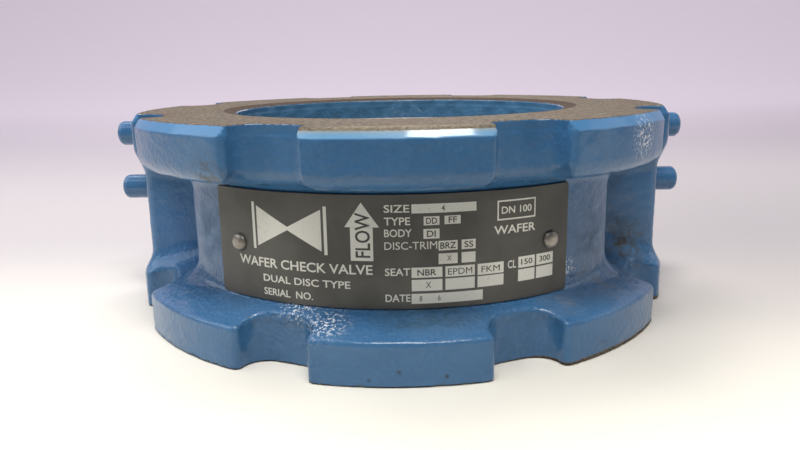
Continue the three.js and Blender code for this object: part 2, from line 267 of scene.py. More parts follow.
def cast_paint(name, machined_faces):
    """Blue enamel over a rough casting. With machined_faces, the ends and lip of the body are bare."""
    look = Look(name)
    broad = look.noise(24, 3.0)
    fine = look.noise(1.3, 4.0, 0.6)
    # thin is the share of painted light beside the left boss.
    thin = look.times(look.near(*PAINTED_LIGHT_SPOT), 0.9)
    # The share given back counts the dusty patches and the painted shade under the nameplate.
    colour, dust_and_shade = soiled_and_shaded(look, enamel_colour(look, broad, fine, thin))
    colour, eaten = blemished(look, colour, fine)
    rough = look.remap(broad, 0.25, 0.75, 0.24, 0.36)
    rough = look.plus(rough, look.times(look.most(eaten, dust_and_shade), 0.4))
    dull = look.most(look.most(dust_and_shade, look.times(thin, 0.6)), side_chamfer(look))
    coat = look.remap(dull, 0.0, 0.7, FULL_COAT, WORN_COAT)
    height = casting_relief(look, fine)
    look.surface(Coat_Weight=coat, Coat_Roughness=0.09, Specular_IOR_Level=0.25)
    if machined_faces:
        colour, rough, height = add_machined_faces(look, colour, rough, coat, height)
    grain = look.bump(look.noise(0.7, 2.0), 0.05, 0.35)
    look.surface(Base_Color=colour, Roughness=rough, Normal=look.bump(height, 0.30, 0.75, grain))
    return look.material


def enamel_colour(look, broad, fine, thin):
    """Blue that wanders a little and is paler in the grain, with painted light making it paler on the
    chamfer, in the bore and beside the left boss.
    """
    blue = look.mix(look.remap(broad, 0.3, 0.7), DEEP_BLUE, MID_BLUE)
    blue = look.mix(look.remap(fine, 0.35, 0.75, 0.0, 0.35), blue, GRAIN_BLUE)
    return look.mix(thin, painted_light_places(look, blue), PAINTED_LIGHT_BLUE)


def chamfer_share(look):
    """1 on the chamfer turned round the outlet flange."""
    return look.times(look.past(look.radius(), *CHAMFER_R), look.past(look.axis("Z"), *CHAMFER_Z))


def side_chamfer(look):
    """The share of its gloss that the chamfer has lost everywhere but at the front."""
    land_end, land = FRONT_LAND_Y
    return look.times(chamfer_share(look), look.past(look.axis("Y"), land, land_end, 0.0, 0.45))


def painted_light_places(look, blue):
    """Painted light: the enamel is paler on the upward-facing turned chamfer and in the bore. The front
    chamfer has a painted sheen that runs up into an edge of worn paint with a painted highlight.
    """
    chamfer = chamfer_share(look)
    blue = look.mix(look.times(chamfer, 0.75), blue, LIT_CHAMFER_BLUE)
    front = look.times(chamfer, look.past(look.axis("Y"), *FRONT_LAND_Y))
    # rubbed is the painted sheen, turning into worn paint with a painted highlight at the top of the front
    # chamfer.
    rubbed = look.mix(look.past(look.axis("Z"), 70.8, 72.2), PAINTED_SHEEN_BLUE, WORN_AND_LIT_CHAMFER_EDGE)
    blue = look.mix(front, blue, rubbed)
    bore = look.past(look.radius(), BORE_R + 2.5, BORE_R + 1.0, 0.0, 0.55)
    return look.mix(bore, blue, LIT_BORE_BLUE)


def soiled_and_shaded(look, colour):
    """Dusty patches round the ends of the front pad, and painted shade under the nameplate."""
    patches = look.remap(look.noise(5.0, 4.0, 0.7), 0.3, 0.7, 0.15, 0.75)
    soil_and_shade = 0.0
    for centre, reach, spot_colour in DUST_AND_SHADE_SPOTS:
        share = look.times(look.near(centre, reach), patches)
        colour = look.mix(share, colour, spot_colour)
        soil_and_shade = look.most(soil_and_shade, share)
    return colour, soil_and_shade


def blemished(look, colour, fine):
    """Rust that has eaten through, painted glints of light on the sandy spots, and chips. Also gives back
    the rust.
    """
    eaten = look.times(look.near_any(RUST_SPOTS), look.remap(look.noise(3.0, 5.0, 0.7), 0.40, 0.66))
    colour = look.mix(eaten, colour, look.mix(look.noise(1.2, 3.0), *RUST))
    # Painted glints: near-white specks stand in for sparkles of light.
    painted_glints = look.times(look.near_any(SAND_AND_GLINT_SPOTS), look.remap(look.noise(1.0, 3.0, 0.7), 0.53, 0.58))
    colour = look.mix(painted_glints, colour, PAINTED_GLINT)
    for spot in CHIPS:
        chipped = look.times(look.near(*spot), look.remap(fine, 0.35, 0.5))
        colour = look.mix(look.times(chipped, 0.9), colour, CHIPPED)
    return colour, eaten


def casting_relief(look, fine):
    """The casting's grain and pits, coarser in places, and the grains of sand stuck to it."""
    height = look.plus(look.times(fine, 0.6), look.times(look.cells(1.5), 0.7))
    height = look.times(height, coarse_share(look))
    grains = look.times(look.near_any(SAND_AND_GLINT_SPOTS), 6.0)
    return look.plus(height, look.times(look.noise(1.6, 1.0), grains))


def coarse_share(look):
    """How rough the casting is: sandy on the lower flange's slope, smooth on the turned chamfer."""
    z = look.axis("Z")
    slope = look.times(look.past(z, 12.0, 14.5), look.past(z, 19.0, 26.0, 1.0, 0.0))
    return look.times(look.plus(look.times(slope, 1.5), 1.0), look.past(z, 69.0, 70.2, 1.0, 0.15))


# ------------ the machined faces
IRON = ((0.058, 0.046, 0.032), (0.195, 0.162, 0.117))
RUSTY_IRON = (0.13, 0.085, 0.052)
LIP_IRON = (0.060, 0.040, 0.036)
# Rubbed iron with a painted highlight, for the front edge of the top face.
WORN_AND_LIT_IRON_EDGE = (0.250, 0.215, 0.160)
IRON_METALLIC = 0.25
TURNING_MARK = 0.9  # the turning marks' wave runs on by one radian in this many millimetres


def add_machined_faces(look, colour, rough, coat, height):
    """Bare, rust-filmed iron on the ends and lip of the body, without the enamel's gloss."""
    bare, lip = bare_share(look)
    film = look.noise(1.1, 4.0, 0.75)
    bare_rough = look.remap(film, 0.3, 0.7, 0.78, 0.58)
    bare_rough = look.most(bare_rough, look.past(look.radius(), LIP_R + 1.0, LIP_R + 0.3))
    look.surface(Coat_Weight=look.times(coat, look.minus(1.0, bare)))
    look.surface(Metallic=look.times(bare, IRON_METALLIC))
    colour = look.mix(bare, colour, iron_colour(look, film, lip))
    rough = look.blend(bare, rough, bare_rough)
    return colour, rough, look.blend(bare, height, iron_relief(look, film))


def bare_share(look):
    """1 on the machined ends and on the lip of the bore, with ragged edges. Also gives back the lip."""
    z = look.plus(look.axis("Z"), look.remap(look.noise(1.6, 3.0), 0.3, 0.7, -0.07 * MM, 0.07 * MM))
    worn = look.past(look.axis("Y"), *FRONT_LAND_Y, 0.0, 0.75 * MM)
    top = look.past(look.plus(z, worn), FACE_TO_FACE - 0.26, FACE_TO_FACE - 0.14)
    rise = look.past(look.axis("X"), 25, 65, -0.1 * MM, 1.0 * MM)
    foot = look.past(look.minus(z, rise), 0.5, 0.2)
    lip = look.past(look.radius(), LIP_R + 0.4, LIP_R + 0.1)
    lip = look.times(lip, look.past(z, FACE_TO_FACE - 1.15, FACE_TO_FACE - 0.85))
    return look.most(look.most(top, foot), lip), lip


def iron_colour(look, film, lip):
    """Brown iron in patches, darker on the lip, and brighter along the front edge, where it is rubbed and
    carries a painted highlight.
    """
    iron = look.mix(look.remap(film, 0.36, 0.64), *IRON)
    iron = look.mix(look.remap(look.noise(16, 3.0), 0.42, 0.68, 0.0, 0.5), iron, RUSTY_IRON)
    iron = look.mix(look.times(lip, 0.7), iron, LIP_IRON)
    # The front edge is rubbed iron with a painted highlight.
    edge = look.times(look.past(look.axis("Y"), -94.0, -97.5), look.remap(film, 0.3, 0.7, 0.4, 1.0))
    return look.mix(edge, iron, WORN_AND_LIT_IRON_EDGE)


def iron_relief(look, film):
    """Rust film, turning marks, and nicks round the lip."""
    waves = {"Scale": 1 / (20 * TURNING_MARK * MM), "Distortion": 0.4}  # the node takes 20 radians a unit
    marks = look.node("TexWave", waves, wave_type="RINGS", rings_direction="Z").outputs["Fac"]
    relief = look.plus(look.times(film, 0.32), look.times(marks, 0.10))
    nicks = look.times(look.past(look.radius(), LIP_R + 1.5, LIP_R + 0.5), look.noise(1.0, 2.0))
    return look.plus(relief, look.times(nicks, 1.2))


# ------------ other materials
def metal(name, dark, light, rough, grain, depth, metallic=1.0):
    """Bare metal whose colour and roughness wander over a few millimetres."""
    look = Look(name)
    cloud = look.noise(grain * 6, 3.0)
    fine = look.noise(grain, 3.0, 0.6)
    look.surface(Base_Color=look.mix(look.remap(cloud, 0.3, 0.7), dark, light))
    look.surface(Roughness=look.remap(fine, 0.25, 0.75, rough - 0.08, rough + 0.1))
    look.surface(Normal=look.bump(fine, depth, 0.7), Metallic=metallic)
    return look.material


def drawn_steel(name, rough):
    """Ground or drawn steel with fine marks that run round the pins' axis."""
    look = Look(name)
    marks = look.noise(0.25, 2.0, at=look.stretched((1, 0.08, 0.08)))
    look.surface(Base_Color=look.mix(look.noise(9, 2.0), (0.42, 0.42, 0.42), (0.58, 0.57, 0.55)))
    look.surface(Roughness=look.remap(marks, 0.3, 0.7, rough - 0.06, rough + 0.12))
    look.surface(Normal=look.bump(marks, 0.02, 0.6), Metallic=1.0)
    return look.material


def soft_material(name, dark, light, rough, grain, depth):
    """Rubber or plastic with a fine moulded grain."""
    look = Look(name)
    fine = look.noise(grain, 3.0)
    look.surface(Base_Color=look.mix(look.remap(look.noise(grain * 12, 2.0), 0.3, 0.7), dark, light))
    look.surface(Roughness=look.remap(fine, 0.3, 0.7, rough - 0.07, rough + 0.07))
    look.surface(Normal=look.bump(fine, depth, 0.6))
    return look.material


def plate_material():
    """Dark sheet for the nameplate, rubbed and lightly scratched."""
    look = Look("nameplate_sheet")
    brushed = look.noise(0.4, 3.0, 0.6, at=look.stretched((0.12, 0.12, 1)))
    cloud = look.remap(look.noise(14, 3.0), 0.3, 0.7)
    look.surface(Base_Color=look.mix(cloud, (0.072, 0.070, 0.062), (0.102, 0.099, 0.088)))
    look.surface(Roughness=look.remap(brushed, 0.3, 0.7, 0.40, 0.52), Metallic=0.25)
    look.surface(Normal=look.bump(brushed, 0.02, 0.5))
    return look.material


def ink_material(name, dark, light, rough):
    """Print on the plate: slightly uneven, with worn pin-holes."""
    look = Look(name)
    worn = look.remap(look.noise(0.9, 4.0, 0.7), 0.26, 0.40)
    look.surface(Base_Color=look.mix(worn, dark, light), Normal=look.bump(worn, 0.01, 0.5))
    look.surface(Roughness=look.remap(worn, 0.0, 1.0, rough + 0.1, rough))
    return look.material


# ------------ meshes
SHARP_ANGLE = math.radians(40)


def make_piece(name, points, faces, material, body, slot, replaces=(), normals=None):
    """Makes a mesh from points in millimetres and fixes it to a CAD body."""
    mesh = bpy.data.meshes.new(name)
    corners = faces if isinstance(faces, list) else faces.tolist()
    mesh.from_pydata((np.asarray(points) * MM).tolist(), [], corners)
    mesh.materials.append(material)
    if normals is None:
        face_outwards(mesh)
    mesh.polygons.foreach_set("use_smooth", [True] * len(mesh.polygons))
    if normals is None:
        mesh.set_sharp_from_angle(angle=SHARP_ANGLE)
    else:
        mesh.normals_split_custom_set_from_vertices(normals.tolist())
    piece = new_object(name, mesh)
    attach(piece, body)
    if replaces:
        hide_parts(*replaces)


def new_object(name, data):
    """Makes an object and puts it in the scene."""
    made = bpy.data.objects.new(name, data)
    bpy.context.scene.collection.objects.link(made)
    return made


def face_outwards(mesh):
    """Turns the faces of each closed part of a mesh so that they all face out."""
    shape = bmesh.new()
    shape.from_mesh(mesh)
    bmesh.ops.recalc_face_normals(shape, faces=shape.faces)
    shape.to_mesh(mesh)
    shape.free()


def add_part(node, kind, shape, material, slot, body="casing", at=(0, 0, 0), half_turn=False):
    """Makes the piece that replaces one CAD node, from its points, faces and perhaps normals."""
    points, faces, *normals = shape
    placed = moved(points, at, half_turn)
    normals = [moved(directions, half_turn=half_turn) for directions in normals]
    make_piece(f"{node}_{kind}", placed, faces, material, body, slot, [node], *normals)


def moved(points, offset=(0, 0, 0), half_turn=False):
    """Points after an optional half turn about Z and then an offset."""
    points = np.asarray(points, float)
    if half_turn:
        points = points * [-1, -1, 1]
    return points + offset


def loft(rings, wrap=False):
    """Skins rings of points. With wrap the last ring meets the first; without, the ends are capped."""
    count, around = rings.shape[:2]
    faces = []
    for i in range(count if wrap else count - 1):
        here, there = i * around, (i + 1) % count * around
        for j in range(around):
            k = (j + 1) % around
            faces.append([here + j, here + k, there + k, there + j])
    if not wrap:
        faces.append(list(range(around))[::-1])
        faces.append([(count - 1) * around + j for j in range(around)])
    return rings.reshape(-1, 3), faces


def turned(profile, steps=48):
    """A solid turned about X, from (x, radius) pairs in order of x."""
    angles = np.arange(steps) * 2 * np.pi / steps
    rings = [np.c_[np.full(steps, x), r * np.cos(angles), r * np.sin(angles)] for x, r in profile]
    return loft(np.array(rings))


def turned_ring(profile, steps=64):
    """A ring turned about X, from a closed (x, radius) profile."""
    angles = np.arange(steps) * 2 * np.pi / steps
    x, r = np.array(profile).T
    rings = [np.c_[x, r * np.cos(a), r * np.sin(a)] for a in angles]
    return loft(np.array(rings), wrap=True)


def round_end(x, r, radius, steps=6):
    """(x, radius) pairs of a rounded edge at the end of a pin, from its side to its end."""
    turn = np.linspace(0, np.pi / 2, steps)
    return [(x - radius * (1 - math.sin(a)), r - radius * (1 - math.cos(a))) for a in turn]


# ------------ rounded solids from distances
def join(a, b, radius):
    """The union of two distances, with a fillet where they meet."""
    fillet = np.hypot(np.maximum(radius - a, 0), np.maximum(radius - b, 0))
    return np.maximum(np.minimum(a, b), radius) - fillet


def meet(a, b, radius):
    """What two distances share, with a rounded edge."""
    edge = np.hypot(np.maximum(radius + a, 0), np.maximum(radius + b, 0))
    return np.minimum(np.maximum(a, b), -radius) + edge


def ripple(p, size, seed):
    """Smooth bumps about size across, from a few crossing waves: a cast surface is never true."""
    draw = np.random.default_rng(seed)
    total = np.zeros(len(p))
    waves = 9
    for _ in range(waves):
        direction = draw.normal(size=3)
        direction *= 2 * np.pi / (np.linalg.norm(direction) * size * draw.uniform(0.7, 1.5))
        total += np.sin(p @ direction + draw.uniform(0, 2 * np.pi))
    return total / math.sqrt(waves / 2)


def lines(low, high, step):
    """Evenly spaced grid lines from low to just past high."""
    return np.arange(low, high + step, step)


def net(distance, axes, rounds=3):
    """A mesh of quads where distance(points) is 0, found on a grid of lines, with its exact normals."""
    values = grid_values(distance, axes)
    cells = crossed_cells(values < 0)
    quads = cell_quads(values < 0, cells)
    step = axes[0][1] - axes[0][0]
    points = settled(distance, cell_points(values, cells, axes), quads, step, rounds)
    return points, quads, slope(distance, points)


# The eight corners of a grid cell, counted from its lowest one.
CORNERS = np.array([[i, j, k] for i in (0, 1) for j in (0, 1) for k in (0, 1)])
UNIT = np.eye(3, dtype=int)


def grid_values(distance, axes):
    """The distance at each crossing of the grid's lines, worked out in parts to save memory."""
    grid = np.stack(np.meshgrid(*axes, indexing="ij"), -1).reshape(-1, 3)
    parts = [distance(part) for part in np.array_split(grid, 24)]
    return np.concatenate(parts).reshape([len(axis) for axis in axes])


def crossed_cells(inside):
    """The grid cells that the surface passes through, each by its lowest corner."""
    size = np.array(inside.shape) - 1
    count = np.zeros(size, np.int8)
    for i, j, k in CORNERS:
        count += inside[i:size[0] + i, j:size[1] + j, k:size[2] + k]
    return np.argwhere((count > 0) & (count < len(CORNERS)))


def cell_points(values, cells, axes):
    """A point for each cell: the middle of the places where the surface crosses its edges."""
    points, hits = np.zeros((len(cells), 3)), np.zeros(len(cells))
    for axis in range(3):
        for corner in CORNERS[CORNERS[:, axis] == 0]:
            a_at = cells + corner
            b_at = a_at + UNIT[axis]
            a, b = values[tuple(a_at.T)], values[tuple(b_at.T)]
            crossed = (a < 0) != (b < 0)
            share = np.where(crossed, a / np.where(crossed, a - b, 1), 0)
            a_spot, b_spot = (np.stack([axes[k][at[:, k]] for k in range(3)], 1) for at in (a_at, b_at))
            points += np.where(crossed[:, None], a_spot + share[:, None] * (b_spot - a_spot), 0)
            hits += crossed
    return points / hits[:, None]


def cell_quads(inside, cells):
    """A quad round each grid edge that the surface crosses, through the four cells at it."""
    number = np.full(np.array(inside.shape) - 1, -1, int)
    number[tuple(cells.T)] = np.arange(len(cells))
    quads = []
    for axis in range(3):
        u, v = (axis + 1) % 3, (axis + 2) % 3
        edges = np.argwhere(np.diff(inside, axis=axis))
        edges = edges[(edges[:, u] > 0) & (edges[:, v] > 0)]
        around = (-UNIT[u] - UNIT[v], -UNIT[v], 0 * UNIT[u], -UNIT[u])
        loop = np.stack([number[tuple((edges + cell).T)] for cell in around], 1)
        outward = inside[tuple(edges.T)]
        quads.append(np.where(outward[:, None], loop, loop[:, ::-1]))
    return np.concatenate(quads)


def settled(distance, points, quads, step, rounds):
    """Evens the points out over the surface, a few times, and puts them exactly on it."""
    sides = np.concatenate([quads[:, [i, (i + 1) % 4]] for i in range(4)])
    start, end = sides.T
    links = np.bincount(start, minlength=len(points))
    for _ in range(rounds):
        pulled = np.stack([np.bincount(start, points[end, k], len(points)) for k in range(3)], 1)
        points = points + 0.5 * (pulled / links[:, None] - points)
        points = onto(distance, points, step)
    return onto(distance, points, step)


def slope(distance, points, reach=0.06):
    """The outward normals of the surface at points."""
    shifts = np.eye(3) * reach
    rise = np.stack([distance(points + s) - distance(points - s) for s in shifts], 1)
    return rise / np.maximum(np.linalg.norm(rise, axis=1), 1e-9)[:, None]


def onto(distance, points, step):
    """Moves points along the normal to the surface, by half a grid step at most."""
    away = np.clip(distance(points), -0.5 * step, 0.5 * step)
    return points - slope(distance, points) * away[:, None]


# ------------ the body casting
def notch_distance(r, angle):
    """Negative inside a bolt notch: straight sides that open slightly, a flat floor, round corners."""
    off = np.radians(angle % NOTCH_PITCH - NOTCH_PITCH / 2)
    across, out = np.abs(r * np.sin(off)), r * np.cos(off)
    sides = across - NOTCH_HALF_WIDTH - NOTCH_FLARE * (out - NOTCH_FLOOR_R)
    return meet(sides, NOTCH_FLOOR_R - out, NOTCH_CORNER_R)


def folded(angle):
    """The angle from the nearer of the valve's front and back, which are alike."""
    return np.minimum(np.abs(angle), 180 - np.abs(angle))


def body_core(x, y, r, fold):
    """The neck with its front and back pads and the two flat-faced pin bosses."""
    beyond = r * np.sin(np.radians(fold - PAD_HALF_ANGLE))
    pads = meet(r - PAD_R, beyond, PAD_CORNER_R)
    boss = meet(np.abs(x) - BOSS_FACE_X, np.abs(y) - BOSS_HALF_WIDTH, 4.0)
    return join(join(r - NECK_R, pads, 7.0), boss, 8.0)


def with_flanges(core, z, r, angle):
    """Adds the notched flanges. The fillet between them and the neck grows towards the sides."""
    notch = notch_distance(r, angle)
    under = (OUTLET_UNDERSIDE - OUTLET_SLOPE * (UNDERSIDE_R - r) - z) * 0.99  # about the slope's cosine
    rim = r - FLANGE_R - RIM_DRAFT * (z - 60)
    upper = meet(meet(rim, -notch, FLANGE_CORNER_R), under, 4.8)
    over = (z - INLET_FLANGE_T - INLET_SLOPE * (FLANGE_R - r)) * 0.965
    lower = meet(meet(r - FLANGE_R, -notch, FLANGE_CORNER_R), over, 1.2)
    at_side = np.clip((folded(angle) - 44) / 16, 0, 1)  # from 44 degrees off the front to 60
    return join(join(core, upper, 2.6 + 4.0 * at_side), lower, 1.8 + 5.5 * at_side)


def crossbar_distance(y, z, r):
    """The crossbar between the two ports, narrower towards the inlet."""
    half_width = np.minimum(CROSSBAR_HALF_WIDTH, CROSSBAR_HALF_WIDTH / 2 + 0.7 * (z - CROSSBAR_Z))
    bar = meet(np.abs(y) - half_width, CROSSBAR_Z - z, 1.8)
    return np.maximum(bar, r - 57.0)


def hollowed(cast, p, r):
    """Cuts the port and the bore, and leaves the crossbar and the hinge pin's bosses."""
    x, y, z = p.T
    hollow = meet(cast, PORT_R - r, 1.2)
    hollow = join(hollow, crossbar_distance(y, z, r), 4.0)
    bore = meet(r - BORE_R - 0.12 * ripple(p, 8.0, 7), LEDGE_Z - z, 1.2)
    hollow = meet(hollow, -bore, 0.8)
    eyes = meet(np.hypot(y, z - HINGE_Z) - EYE_R, EYE_START - np.abs(x), 1.0)
    return join(hollow, np.maximum(eyes, r - 70), 2.5)


def machined(part, p, r):
    """Turns the chamfer and the lip, drills for the pins and faces both ends."""
    x, y, z = p.T
    chamfer = (r - CHAMFER_TOP_R) * CHAMFER_DROP + (z - FACE_TO_FACE) * CHAMFER_WIDTH
    chamfer = chamfer / CHAMFER_SLANT
    part = meet(part, chamfer + 0.012 * ripple(p, 9.0, 8), 0.15)
    slant = math.hypot(LIP_DEPTH, LIP_R - BORE_R)
    lip = ((r - LIP_R) * LIP_DEPTH - (z - FACE_TO_FACE) * (LIP_R - BORE_R)) / slant
    part = meet(part, -lip, 0.3)
    for height in (HINGE_Z, STOP_Z):
        hole = np.maximum(np.hypot(y, z - height) - PIN_R - 0.12, PIN_HOLE_START - np.abs(x))
        part = meet(part, -hole, 0.3)
    return meet(meet(part, z - FACE_TO_FACE, 0.25), -z, 0.3)


def body_distance(p):
    """The whole casting, in the order in which the real one is cast and machined."""
    x, y, z = p.T
    r = np.hypot(x, y)
    angle = np.degrees(np.arctan2(x, -y))
    cast = with_flanges(body_core(x, y, r, folded(angle)), z, r, angle)
    cast = cast + 0.035 * ripple(p, 11.0, 5) + 0.022 * ripple(p, 3.6, 6)
    return machined(hollowed(cast, p, r), p, r)


def build_body(material):
    """The casting on a grid that is finer in height at the chamfer and the top face."""
    step, fine = ((1.0, 0.4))
    across = lines(-FLANGE_R - 1.5, FLANGE_R + 1.5, step)
    up = np.concatenate([lines(-1.3, CHAMFER_START - step, step), lines(CHAMFER_START, 74.2, fine)])
    shape = net(body_distance, (across, across, up), rounds=2)
    add_part("body_casting", "cast", shape, material, "paint")


# ------------ seat and discs
def seat_distance(p):
    """A flat ring with a raised bead, and a bar across it with two ribs."""
    x, y, z = p.T
    r = np.hypot(x, y)
    layer = np.maximum(z - SEAT_TOP, SEAT_Z - z)
    slab = meet(layer, r - SEAT_OUTER_R, 0.5)
    bead = np.hypot(r - BEAD_R, z - 24.4) - 1.25
    ring = join(meet(slab, SEAT_INNER_R - r, 0.8), bead, 0.6)
    bar = meet(layer, np.abs(y) - 6.6, 0.7)
    ribs = np.hypot(np.abs(y) - RIB_Y, z - 24.5) - 1.1
    bar = np.maximum(join(bar, ribs, 0.6), r - 54)
    return join(ring, bar, 0.8)


def build_seat(material):
    """The seat, bonded to the ledge and the crossbar."""
    step = 0.75
    across = lines(-64, 64, step)
    shape = net(seat_distance, (across, across, lines(21.6, 26.9, step)), rounds=2)
    add_part("seat_ring", "moulded", shape, material, "rubber")


LUGS = ((-53.4, -41.4), (26.8, 38.8))  # where the front disc's lugs start and end along X


def disc_distance(p):
    """The front disc, measured from the hinge axis: a half-round plate, two lugs and two stop pads."""
    x, y, z = p.T
    r = np.hypot(x, y)
    cast = meet(meet(r - DISC_R, y + 1.2, 1.5), np.maximum(z - DISC_BACK, DISC_FRONT - z), 1.1)
    hub = np.hypot(y, z)
    buried = DISC_FRONT + 2 - z  # webs and pads start inside the plate
    for start, end in LUGS:
        span = np.maximum(start - x, x - end)
        eye = meet(hub - LUG_R, span, 0.8)
        web = meet(meet(np.maximum(y + 1.8, -12.5 - y), z, 2.0), span, 0.8)
        cast = join(cast, join(eye, np.maximum(web, buried), 1.5), 2.2)
    pad_x, pad_y, pad_top = STOP_PAD
    pad = meet(np.abs(np.abs(x) - pad_x) - 4.6, np.abs(y - pad_y) - 4.1, 1.6)
    pad = meet(pad, z - pad_top, 1.0)
    cast = join(cast, np.maximum(pad, buried), 2.2)
    rough = np.clip((z - DISC_BACK + 1.5) / 1.5, 0, 1)
    cast = cast + 0.05 * ripple(p, 6.0, 11) * rough
    return meet(cast, PIN_R + 0.35 - hub, 0.5)


def build_discs(material):
    """The two discs are one shape: the rear one is the front one after a half turn."""
    step = 0.8
    axes = (lines(-60, 60, step), lines(-60, 9.8, step), lines(-18, 10, step))
    shape = net(disc_distance, axes)
    for side in ("front", "rear"):
        body, at = side + "_flap", (0, 0, HINGE_Z)
        add_part(side + "_disc", "cast", shape, material, "bronze", body, at, half_turn=side == "rear")


# ------------ pins, plugs, washers, springs
def build_pins(material):
    """The hinge pin, and the stop pin, which is a looser fit and lies on the floor of its holes."""
    pins = (("hinge_pin", HINGE_Z, PIN_R), ("stop_pin", STOP_Z - 0.3, PIN_R - 0.2))
    half_length = 78
    for name, height, radius in pins:
        end = round_end(half_length, radius, 0.8)
        shape = turned(sorted([(-x, r) for x, r in end] + end))
        add_part(name, "ground", shape, material, "steel", at=(0, 0, height))


PLUGS = (("hinge_pin_plug", HINGE_Z, BOSS_FACE_X), ("stop_pin_plug", STOP_Z, FLANGE_R))
PLUG_START = 79.2
PLUG_ENDS = {"left": 111.9, "right": 110.3}


def plug_profile(face, end):
    """A stub with a fillet of paint where it leaves the body's face, and a round end."""
    fillet = [(face - 0.6 + 1.9 * t, PIN_R + 1.5 * (1 - t) ** 2.2) for t in np.linspace(0, 1, 6)]
    shank = [(PLUG_START, PIN_R - 0.3), (PLUG_START + 0.3, PIN_R), (face - 1.2, PIN_R)]
    return shank + fillet + round_end(end, PIN_R, 2.3, 9)


def build_plugs(material):
    """Painted stubs that close the pins' holes. The left ones stand out further."""
    for name, height, face in PLUGS:
        for side, end in PLUG_ENDS.items():
            shape = turned(plug_profile(face, end))
            at, half_turn = (0, 0, height), side == "left"
            add_part(f"{name}_{side}", "painted", shape, material, "paint", at=at, half_turn=half_turn)


def washer_profile(thickness, outer, inner, edge=0.25):
    """The (x, radius) outline of a washer with bevelled edges."""
    half = thickness / 2
    return [(-half + edge, outer), (half - edge, outer), (half, outer - edge), (half, inner + edge),
            (half - edge, inner), (-half + edge, inner), (-half, inner + edge), (-half, outer - edge)]


def build_washers(material):
    places = (("body_bearing", 54.7, 2.0), ("disc_bearing", 40.1, 2.0), ("spring_bearing", 25.75, 1.4))
    for name, x, thickness in places:
        for side, sign in (("left", -1), ("right", 1)):
            shape = turned_ring(washer_profile(thickness, WASHER_R, PIN_R + 0.3))
            add_part(f"{name}_{side}", "turned", shape, material, "ptfe", at=(sign * x, 0, HINGE_Z))


def spring_line():
    """The middle of a half spring's wire, and its radius: a leg on the front disc, then the coil."""
    coil_r, pitch, turns, wire, leg, gap = 6.7, 2.8, 3, 2.4, 36.0, 0.35
    start = -turns * pitch - wire / 2 - gap
    rest = DISC_BACK + gap + wire / 2
    share = np.linspace(1, 0, 26)[:-1]
    legs = np.c_[np.full(len(share), start), -leg * share, -coil_r + (rest + coil_r) * share ** 2]
    angle = np.linspace(0, 2 * np.pi * turns, 40 * turns)
    coil = np.c_[start + pitch * angle / (2 * np.pi), coil_r * np.sin(angle), -coil_r * np.cos(angle)]
    return np.concatenate([legs, coil]), wire / 2


def frames_along(line):
    """Three unit vectors at each point of a line: ahead, and two across it that don't twist."""
    ahead = np.gradient(line, axis=0)
    ahead /= np.linalg.norm(ahead, axis=1)[:, None]
    side = np.cross(ahead, [0, 0, 1.0])
    flat = np.linalg.norm(side, axis=1) < 0.2
    side[flat] = np.cross(ahead[flat], [1.0, 0, 0])
    for i in range(1, len(side)):
        side[i] = side[i - 1] - ahead[i] * (side[i - 1] @ ahead[i])
        side[i] /= np.linalg.norm(side[i])
    side[0] /= np.linalg.norm(side[0])
    return ahead, side, np.cross(ahead, side)


def tube(line, radius, around=14, round_steps=4):
    """A round-ended tube along a line of points."""
    ahead, side, other = frames_along(line)
    angles = np.arange(around) * 2 * np.pi / around
    circle = np.cos(angles)[:, None, None] * side + np.sin(angles)[:, None, None] * other
    circle = circle.transpose(1, 0, 2)
    rings = line[:, None] + radius * circle
    turn = np.linspace(0, 0.46 * np.pi, round_steps)[1:, None, None]
    caps = []
    for end, sign in ((0, -1), (-1, 1)):
        out = sign * 0.4 * radius * np.sin(turn) * ahead[end]
        caps.append(line[end] + out + radius * np.cos(turn) * circle[end])
    return loft(np.concatenate([caps[0][::-1], rings, caps[1]]))


def build_springs(material):
    """Four half springs: each rides with the disc that its leg lies on."""
    shape = tube(*spring_line())
    for side, x in (("left", -13.1), ("right", 13.1)):
        for half in ("front", "rear"):
            node, body, at = f"spring_{side}_{half}_half", half + "_flap", (x, 0, HINGE_Z)
            add_part(node, "wire", shape, material, "spring_steel", body, at, half_turn=half == "rear")


# ------------ nameplate
def on_plate(points):
    """Bends (arc length, height, lift off the plate's surface) points round the valve."""
    s, z, lift = np.asarray(points, float).T
    angle = s / PLATE_OUTER_R
    r = PLATE_OUTER_R + lift
    return np.c_[r * np.sin(angle), -r * np.cos(angle), z]


def build_plate(material):
    """The bent sheet, its edges slightly rounded and its corners cut round."""
    corner, edge, thickness = 0.4, 0.12, PLATE_OUTER_R - PLATE_INNER_R
    ends = [corner * (1 - math.cos(a)) for a in np.linspace(0, np.pi / 2, 6)]
    middle = np.linspace(PLATE_LEFT + corner + 1, PLATE_RIGHT - corner - 1, 90)
    columns = [*(PLATE_LEFT + e for e in ends), *middle, *(PLATE_RIGHT - e for e in ends[::-1])]
    rings = []
    for s in columns:
        near = min(s - PLATE_LEFT, PLATE_RIGHT - s, corner)
        drop = corner - math.sqrt(max(corner ** 2 - (corner - near) ** 2, 0.01))
        low, high = PLATE_BOTTOM + drop, PLATE_TOP - drop
        rows = np.linspace(low + edge, high - edge, 12)
        outer = [(s, low, -edge), *[(s, z, 0) for z in rows], (s, high, -edge)]
        inner = [(s, high, -thickness), (s, low, -thickness)]
        rings.append(on_plate(outer + inner))
    add_part("nameplate", "sheet", loft(np.array(rings)), material, "plate")


